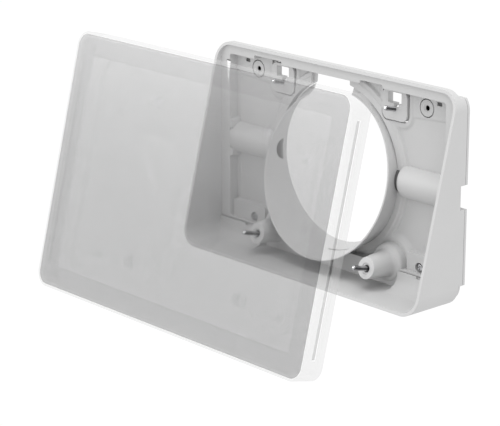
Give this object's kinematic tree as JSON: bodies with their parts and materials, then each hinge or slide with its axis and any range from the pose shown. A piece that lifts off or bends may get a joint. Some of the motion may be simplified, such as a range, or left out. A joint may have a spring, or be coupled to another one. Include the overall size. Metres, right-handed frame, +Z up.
{
  "type": "smart home hub",
  "caption": "Wall-mounted smart home hub: a thin touch panel with side light bars that slides onto the studs of a wedge-shaped wall housing with a round cable collar.",
  "frame": {"origin": "centre of the collar's cable opening, on the wall plane", "axes": "+Y into the wall, +Z up the wall, +X to the user's right; the user stands on the -Y side"},
  "size_m": [0.2472, 0.1521, 0.1638],
  "materials": {
    "housing_plastic": "fine moulded texture, light grey",
    "stud_steel": "turned steel",
    "screw_steel": "satin steel",
    "socket_steel": "satin steel",
    "screen_glass": "polished black glass",
    "band_plastic": "satin white",
    "rear_plastic": "fine moulded texture, white",
    "light_bar_smoke": "smoked light guide",
    "led_film": "flexible circuit",
    "lcd_film": "dark display cell",
    "backlight_white": "white reflector",
    "frame_metal": "pressed sheet",
    "circuit_board": "green solder mask",
    "shield_tin": "tinned sheet",
    "spreader_metal": "rolled sheet",
    "module_black": "moulded block",
    "ribbon_film": "amber film",
    "socket_black": "moulded socket",
    "port_steel": "stamped shell",
    "bay_plastic": "moulded liner"
  },
  "bodies": {
    "housing": {"housing_hood": "housing_plastic", "wall_plate": "housing_plastic", "cable_collar": "housing_plastic", "duct_cover_left": "housing_plastic", "duct_cover_right": "housing_plastic", "screw_block_left": "housing_plastic", "screw_block_right": "housing_plastic", "post_left": "housing_plastic", "post_right": "housing_plastic", "stud_lower_left": "stud_steel", "stud_lower_right": "stud_steel", "screw_bush_left": "housing_plastic", "screw_bush_right": "housing_plastic", "hood_screw_left": "screw_steel", "hood_screw_right": "screw_steel"},
    "tab_left": {"stud_tab_left": "housing_plastic", "stud_upper_left": "stud_steel"},
    "tab_right": {"stud_tab_right": "housing_plastic", "stud_upper_right": "stud_steel"},
    "touch_panel": {"cover_glass": "screen_glass", "lcd_panel": "lcd_film", "backlight_unit": "backlight_white", "mid_frame": "frame_metal", "main_board": "circuit_board", "processor_shield": "shield_tin", "heat_spreader": "spreader_metal", "supply_module": "module_black", "display_ribbon": "ribbon_film", "wifi_antenna": "ribbon_film", "ethernet_socket": "socket_black", "power_port": "port_steel", "port_bay": "bay_plastic", "side_band": "band_plastic", "light_bar_left": "light_bar_smoke", "light_bar_right": "light_bar_smoke", "led_strip_left": "led_film", "led_strip_right": "led_film", "rear_cover": "rear_plastic", "stud_socket_lower_left": "socket_steel", "stud_socket_lower_right": "socket_steel", "stud_socket_upper_left": "socket_steel", "stud_socket_upper_right": "socket_steel", "cover_screw_lower_left": "screw_steel", "cover_screw_lower_right": "screw_steel", "cover_screw_upper_left": "screw_steel", "cover_screw_upper_right": "screw_steel"}
  },
  "joints": [
    {"name": "panel_lift_off", "type": "slide", "parent": "housing", "child": "touch_panel", "axis": [0, -1, 0], "range_m": [-0.0944, 0.06]},
    {"name": "tab_left_flex", "type": "hinge", "parent": "housing", "child": "tab_left", "pos_m": [-0.0503, -0.0025, 0.0565], "axis": [1, 0, 0], "range_deg": [-3.5, 0], "stiffness_Nm_per_rad": 1},
    {"name": "tab_right_flex", "type": "hinge", "parent": "housing", "child": "tab_right", "pos_m": [0.0503, -0.0025, 0.0565], "axis": [1, 0, 0], "range_deg": [-3.5, 0], "stiffness_Nm_per_rad": 1}
  ]
}
